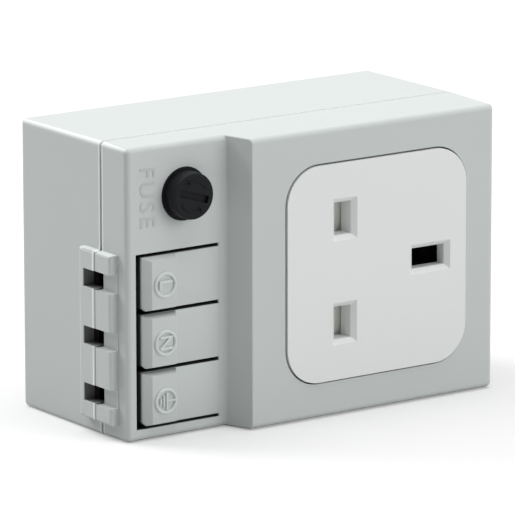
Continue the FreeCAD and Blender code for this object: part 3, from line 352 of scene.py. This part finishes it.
def workedMetal(name, look, wear):
    made, start = newMaterial(name)
    place = start.node("TexCoord", out="Object")
    streak = drawnStreaks(place, look["along"], wear["streakDetail"])
    patch = start.node("TexNoise", {}, {"Vector": place, **wear["patchNoise"]})
    worn = patch.node("ValToRGB", {"stops": wear["worn"]}, {"Fac": patch})
    share = worn * look["patch"] + streak * wear["streakShare"]
    tone = share.blend(linear(look["tone"]), linear(look["dull"]))
    rough = worn * wear["wornRough"] + streak * wear["streakRough"] + (look["rough"] - wear["easeRough"])
    relief = reliefOf(streak, wear["bump"], wear["depth"])
    values = {"Base Color": tone, "Metallic": 1.0, "Roughness": rough, "Normal": relief}
    return closeMaterial(made, start.node("BsdfPrincipled", {}, values))


glassLook = {
    "tones": ((238, 246, 244), (250, 253, 252)),
    "along": (900, 90, 900),
    "detail": 2,
    "bump": 0.2,
    "depth": 0.01,
    "rough": 0.01,
    "streakRough": 0.05,
    "ior": 1.5,
}


def clearGlass(name, look):
    made, start = newMaterial(name)
    place = start.node("TexCoord", out="Object")
    streak = drawnStreaks(place, look["along"], look["detail"])
    tone = streak.blend(*(linear(tone) for tone in look["tones"]))
    values = {
        "Base Color": tone, "Roughness": streak * look["streakRough"] + look["rough"], "IOR": look["ior"],
        "Transmission Weight": 1.0, "Normal": reliefOf(streak, look["bump"], look["depth"]),
    }
    return closeMaterial(made, start.node("BsdfPrincipled", {}, values))


finishes = {name: mouldedPlastic(name, look, mouldLook) for name, look in plasticLooks.items()}
finishes.update({name: workedMetal(name, look, wearLook) for name, look in metalLooks.items()})
finishes["fuseGlass"] = clearGlass("fuseGlass", glassLook)

nodeFinishes = {
    "casingPlastic": ["rear_base", "front_cover"],
    "insertPlastic": ["socket_insert"],
    "shutterIvoryPaintedLight": ["shutter"],
    "latchPlastic": ["rail_latch"],
    "blackPlastic": ["fuse_holder", "fuse_holder_nut", "fuse_cap", "terminal_block", "contact_carrier"],
    "contactBrass": [
        "live_contact", "neutral_contact", "earth_contact",
        "live_bar", "neutral_bar", "earth_bar", "fuse_link_bar", "fuse_tip_contact",
    ],
    "nickelPlate": ["fuse_side_contact", "fuse_cap_sleeve", "fuse_end_caps"],
    "springSteel": ["live_clamp", "neutral_clamp", "earth_clamp", "shutter_spring", "latch_spring"],
    "zincSteel": ["casing_screws"],
    "fuseElement": ["fuse_wire"],
    "fuseGlass": ["fuse_glass"],
}
for finish, names in nodeFinishes.items():
    for name in names:
        nodes[name].data.materials.clear()
        nodes[name].data.materials.append(finishes[finish])
print("materials made:", len(finishes))


# Mesh helpers, all in mm until the piece is finished
smoothUpTo = 32  # degrees between two faces that still look like one curve


def block(bm, low, high):
    made = bmesh.ops.create_cube(bm, size=1)["verts"]
    size = [b - a for a, b in zip(low, high)]
    middle = [(a + b) / 2 for a, b in zip(low, high)]
    bmesh.ops.scale(bm, vec=size, verts=made)
    bmesh.ops.translate(bm, vec=middle, verts=made)
    return made


def slicePiece(bm, spot, facing, **options):
    geom = bm.verts[:] + bm.edges[:] + bm.faces[:]
    return bmesh.ops.bisect_plane(bm, geom=geom, plane_co=spot, plane_no=facing, **options)["geom_cut"]


def sharpEdges(bm, least):
    return [e for e in bm.edges if len(e.link_faces) == 2 and e.calc_face_angle(0) > math.radians(least)]


def soften(bm, edges, offset, segments=3):
    bmesh.ops.bevel(
        bm, geom=edges, offset=offset, segments=segments, profile=0.5, affect="EDGES", material=-1,
    )


def finishPiece(name, bm, finish, slot, body, *stoodFor):
    bmesh.ops.recalc_face_normals(bm, faces=bm.faces)
    bmesh.ops.scale(bm, vec=(mm, mm, mm), verts=bm.verts)
    mesh = bpy.data.meshes.new(name)
    bm.to_mesh(mesh)
    bm.free()
    mesh.shade_smooth()
    mesh.set_sharp_from_angle(angle=math.radians(smoothUpTo))
    mesh.materials.append(finishes[finish])
    piece = bpy.data.objects.new(name, mesh)
    bpy.context.collection.objects.link(piece)
    if stoodFor:
        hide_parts(*stoodFor)
    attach(piece, body)


# Levers: a flexing tongue with a soft-edged finger pad and one corner cut off
leverLook = {
    "front": -44.1,
    "inside": -42.1,
    "padLength": 8.4,
    "ramp": 2.1,
    "trimLeft": 0.2,
    "trimTop": 0.12,
    "padBack": 0.3,
    "topSlope": 0.95,
    "bottomSlope": 0.22,
    "softEdge": 0.17,
    "softAngle": 15,
    "corner": 0.85,
    "forwards": 0.9,  # this and the next two are parts of a face's unit normal
    "sloping": 0.2,
    "turned": 0.25,
    # shares of painted shade on the pad's ramp and on its top slope
    "rampDusk": 0.22,
    "topDusk": {"live": 0.2, "neutral": 0.85, "earth": 0.85},
    "ribPlace": 5.24,
    "ribWidth": 1.0,
    "ribLength": 5.2,
}


def duskLever(bm, name, look, padFace, padEnd):  # painted shade on the slopes round the pad, where little light reaches
    dusk = bm.loops.layers.float.new("dusk")
    for face in bm.faces:
        slopes = face.normal.y < -look["sloping"] and face.calc_center_median().x < padEnd
        for loop in face.loops:
            depth = (loop.vert.co.y - padFace) / (look["front"] - padFace)
            if slopes and face.normal.z > look["turned"]:
                loop[dusk] = look["topDusk"][name] * min(1.0, max(0.0, depth))
            elif slopes and face.normal.x < -look["turned"]:
                loop[dusk] = look["rampDusk"]


def leverPiece(name, look):
    low, high = (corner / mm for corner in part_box(f"{name}_lever"))
    low.x += look["trimLeft"]
    high.z -= look["trimTop"]
    bm = bmesh.new()
    block(bm, (low.x, look["front"], low.z), (high.x, look["inside"], high.z))
    padEnd = low.x + look["padLength"]
    slicePiece(bm, (padEnd, 0, 0), (1, 0, 0))
    under = [f for f in bm.faces if f.normal.y < -look["forwards"] and f.calc_center_median().x < padEnd]
    pad = bmesh.ops.extrude_discrete_faces(bm, faces=under)["faces"][0]
    middle = pad.calc_center_median()
    for v in pad.verts:
        v.co.y = low.y
        v.co.x += look["ramp"] if v.co.x < middle.x else -look["padBack"]
        v.co.z += -look["topSlope"] if v.co.z > middle.z else look["bottomSlope"]
    cut = slicePiece(bm, (low.x + look["corner"], 0, low.z), (-1, 0, -1), clear_outer=True)
    bmesh.ops.holes_fill(bm, edges=[e for e in cut if isinstance(e, bmesh.types.BMEdge)], sides=0)
    edges = sharpEdges(bm, look["softAngle"])
    soften(bm, [e for e in edges if min(v.co.x for v in e.verts) < high.x - hair], look["softEdge"])
    duskLever(bm, name, look, low.y, padEnd)
    ribX, halfWidth, halfLength = low.x + look["ribPlace"], look["ribWidth"] / 2, look["ribLength"] / 2
    ribLow = (ribX - halfWidth, look["inside"], middle.z - halfLength)
    block(bm, ribLow, (ribX + halfWidth, high.y, middle.z + halfLength))
    finishPiece(f"{name}Lever", bm, "casingPlastic", "casing_plastic", f"{name}_lever", f"{name}_lever")


for terminal in terminals:
    leverPiece(terminal, leverLook)
print("levers made")


# Raised marks: a ring with L, N or the earth sign on each lever
markLook = {
    "centre": {"live": (-35.98, 1.64), "neutral": (-35.95, -10.6), "earth": (-35.98, -22.9)},
    "base": -44.97,
    "face": -45.47,
    "ring": (2.08, 2.74),
    "roundOff": 0.21,
    "letters": {"live": "L", "neutral": "N"},
    "letter": {"height": 3.1, "spacing": 1.0, "bold": 0.015, "roundOff": 0.028},
    "earthBars": ((0.15, 1.75), (-0.62, 1.25), (-1.35, 0.7)),
    "earthStem": (0.2, 2.18),
    "stroke": 0.4,
    "barRound": 0.12,
}
# In the font's own units. Any thickness does, as the depth of each letter is set afterwards.
fontLook = {"thickness": 0.5, "curveSteps": 6, "roundSteps": 2, "weld": 0.0005}


def ringShape(bm, centre, radii, base, face, roundOff, steps=56):
    inner, outer = radii
    outline = [
        (inner, base), (inner, face + roundOff), (inner + roundOff, face),
        (outer - roundOff, face), (outer, face + roundOff), (outer, base),
    ]
    verts = [bm.verts.new((centre[0] + r, y, centre[1])) for r, y in outline]
    edges = [bm.edges.new((a, b)) for a, b in zip(verts, verts[1:] + verts[:1])]
    bmesh.ops.spin(
        bm, geom=verts + edges, cent=(centre[0], 0, centre[1]), axis=(0, 1, 0),
        angle=math.tau, steps=steps, use_merge=True, use_duplicate=False,
    )


def raisedWord(bm, word, centre, base, face, look):
    # letters stand with their tops towards +X and read down the object
    data = bpy.data.curves.new("word", "FONT")
    data.body = word
    data.space_character = look["spacing"]
    data.offset = look["bold"] - look["roundOff"]  # the rounding takes this back on its way down
    data.bevel_depth = look["roundOff"]
    data.bevel_resolution = fontLook["roundSteps"]
    data.extrude = fontLook["thickness"]
    data.resolution_u = fontLook["curveSteps"]
    holder = bpy.data.objects.new("word", data)
    mesh = bpy.data.meshes.new_from_object(holder)
    bpy.data.objects.remove(holder)
    bpy.data.curves.remove(data)
    letters = bmesh.new()
    letters.from_mesh(mesh)
    bpy.data.meshes.remove(mesh)
    bmesh.ops.remove_doubles(letters, verts=letters.verts, dist=fontLook["weld"])
    low = [min(v.co[k] for v in letters.verts) for k in range(3)]
    high = [max(v.co[k] for v in letters.verts) for k in range(3)]
    scale = look["height"] / (high[1] - low[1])
    middle = Vector(((low[0] + high[0]) / 2, (low[1] + high[1]) / 2, 0))
    for v in letters.verts:
        flat = (v.co - middle) * scale
        level = face + (high[2] - v.co.z) * scale if v.co.z > 0 else base
        v.co = (centre[0] + flat.y, level, centre[1] - flat.x)
    made = bpy.data.meshes.new("letters")
    letters.to_mesh(made)
    letters.free()
    bm.from_mesh(made)
    bpy.data.meshes.remove(made)


def raisedBar(bm, low, high, roundOff):
    bar = block(bm, low, high)
    rim = [e for e in bm.edges if all(v in bar and abs(v.co.y - low[1]) < hair for v in e.verts)]
    soften(bm, rim, roundOff)


def earthSign(bm, x, z, look):
    base, face, half = look["base"], look["face"], look["stroke"] / 2
    start, end = look["earthStem"]
    raisedBar(bm, (x + start, face, z - half), (x + end, base, z + half), look["barRound"])
    for along, reach in look["earthBars"]:
        low, high = (x + along - half, face, z - reach), (x + along + half, base, z + reach)
        raisedBar(bm, low, high, look["barRound"])


def leverMark(name, look):
    x, z = look["centre"][name]
    base, face = look["base"], look["face"]
    bm = bmesh.new()
    ringShape(bm, (x, z), look["ring"], base, face, look["roundOff"])
    if name in look["letters"]:
        raisedWord(bm, look["letters"][name], (x, z), base, face, look["letter"])
    else:
        earthSign(bm, x, z, look)
    finishPiece(f"{name}Mark", bm, "markPlasticPaintedHighlight", "casing_plastic", f"{name}_lever")


for terminal in terminals:
    leverMark(terminal, markLook)

# A low word beside the fuse, its letters darkened by painted shade
wordLook = {
    "word": "FUSE",
    "centre": (-39.6, 20.2),
    "base": -44.05,
    "face": -44.24,
    "letter": {"height": 3.8, "spacing": 1.24, "bold": 0.016, "roundOff": 0.012},
    # the share of painted shade on the letters' faces
    "dusk": 0.15,
}


def fuseWord(look):
    bm = bmesh.new()
    raisedWord(bm, look["word"], look["centre"], look["base"], look["face"], look["letter"])
    dusk = bm.loops.layers.float.new("dusk")
    for face in bm.faces:
        if max(v.co.y for v in face.verts) < look["face"] + hair:
            for loop in face.loops:
                loop[dusk] = look["dusk"]
    finishPiece("fuseWord", bm, "casingPlastic", "casing_plastic", "housing")


fuseWord(wordLook)
print("marks made")


# Two turning arrows raised on the fuse cap, above and below its slot
arrowLook = {
    "centre": (-30.5, 19.9),
    "radius": 3.2,
    "width": 0.42,
    "base": -47.72,
    "face": -47.90,
    "sides": (90, 270),
    "spread": 95,
    "slotTurn": -17.8,
    "head": 0.95,
    "headTaper": 0.9,
}


def capArrows(look, steps=18):
    bm = bmesh.new()
    cx, cz = look["centre"]
    base, face, radius = look["base"], look["face"], look["radius"]
    inner, outer = radius - look["width"] / 2, radius + look["width"] / 2
    for side in look["sides"]:
        begin, tip = (math.radians(side + look["slotTurn"] + look["spread"] * k) for k in (-0.5, 0.5))
        outline = [(inner, base), (inner, face), (outer, face), (outer, base)]
        verts = [bm.verts.new((cx + r * math.cos(begin), y, cz + r * math.sin(begin))) for r, y in outline]
        bmesh.ops.spin(
            bm, geom=[bm.faces.new(verts)], cent=(cx, 0, cz), axis=(0, -1, 0),
            angle=math.radians(look["spread"]), steps=steps, use_duplicate=False,
        )
        head = bmesh.ops.create_cone(
            bm, cap_ends=True, segments=3, radius1=look["head"], radius2=look["head"] * look["headTaper"],
            depth=base - face,
        )["verts"]
        bmesh.ops.transform(bm, matrix=Matrix.Rotation(math.pi / 2, 4, "X"), verts=head)
        bmesh.ops.rotate(bm, cent=(0, 0, 0), matrix=Matrix.Rotation(-tip, 3, "Y"), verts=head)
        spot = (cx + radius * math.cos(tip), (base + face) / 2, cz + radius * math.sin(tip))
        bmesh.ops.translate(bm, vec=spot, verts=head)
    finishPiece("capArrows", bm, "blackPlastic", "black_plastic", "fuse_cap")


capArrows(arrowLook)
print("cap arrows made")


# Studio: a pale floor, soft lamps and a white surround
studioLook = {
    "floorLevel": -31.02,
    "floorRadius": 9000,
    "floorTone": (205, 205, 205),
    "floorLift": 0.30,
    "ambient": 0.15,
    "lamps": {
        "overhead": {"spot": (0, 0, 1300), "size": 1500, "watts": 16.0, "mirrored": True},
        "frontRight": {"spot": (740, -1240, 520), "size": 1150, "watts": 11.0, "mirrored": False},
        "backLeft": {"spot": (-700, 1100, 1000), "size": 900, "watts": 15.0, "mirrored": True},
    },
    "aim": (0, -30, 0),
}


def seenShare(start):  # 1 for what the camera sees, straight or in gloss and glass
    ray = start.node("LightPath", out="Is Camera Ray")
    return ray.maths("ADD", ray + ray.beside("Is Glossy Ray"), ray.beside("Is Transmission Ray"), clamp=True)


def makeWorld(look):
    world = bpy.data.worlds.new("surround")
    bpy.context.scene.world = world
    world.use_nodes = True
    world.node_tree.nodes.clear()
    start = Wire(world.node_tree)
    strength = seenShare(start) * (1 - look["ambient"]) + look["ambient"]
    sky = start.node("Background", {}, {"Color": (1, 1, 1, 1), "Strength": strength})
    sky.node("OutputWorld", {}, {"Surface": sky})


def makeFloor(look):
    bm = bmesh.new()
    bmesh.ops.create_circle(bm, cap_ends=True, segments=96, radius=look["floorRadius"] * mm)
    bmesh.ops.translate(bm, vec=(0, 0, look["floorLevel"] * mm), verts=bm.verts)
    mesh = bpy.data.meshes.new("floor")
    bm.to_mesh(mesh)
    bm.free()
    made, start = newMaterial("floorPaper")
    matt = start.node("BsdfDiffuse", {}, {"Color": linear(look["floorTone"])})
    lift = start.node("Emission", {}, {"Color": (1, 1, 1, 1), "Strength": look["floorLift"]})
    lifted = start.node("AddShader", {}, {0: matt, 1: lift})
    closeMaterial(made, start.node("MixShader", {}, {0: seenShare(start), 1: matt, 2: lifted}))
    mesh.materials.append(made)
    floor = bpy.data.objects.new("floor", mesh)
    bpy.context.collection.objects.link(floor)


def makeLamps(look):
    aim = Vector(look["aim"]) * mm
    for name, lamp in look["lamps"].items():
        data = bpy.data.lights.new(name, "AREA")
        data.shape = "DISK"
        data.size = lamp["size"] * mm
        data.energy = lamp["watts"]
        holder = bpy.data.objects.new(name, data)
        spot = Vector(lamp["spot"]) * mm
        turn = (spot - aim).to_track_quat("Z", "Y").to_matrix().to_4x4()
        holder.matrix_world = Matrix.Translation(spot) @ turn
        holder.visible_glossy = lamp["mirrored"]
        bpy.context.collection.objects.link(holder)


makeWorld(studioLook)
makeFloor(studioLook)
makeLamps(studioLook)
print("studio made")
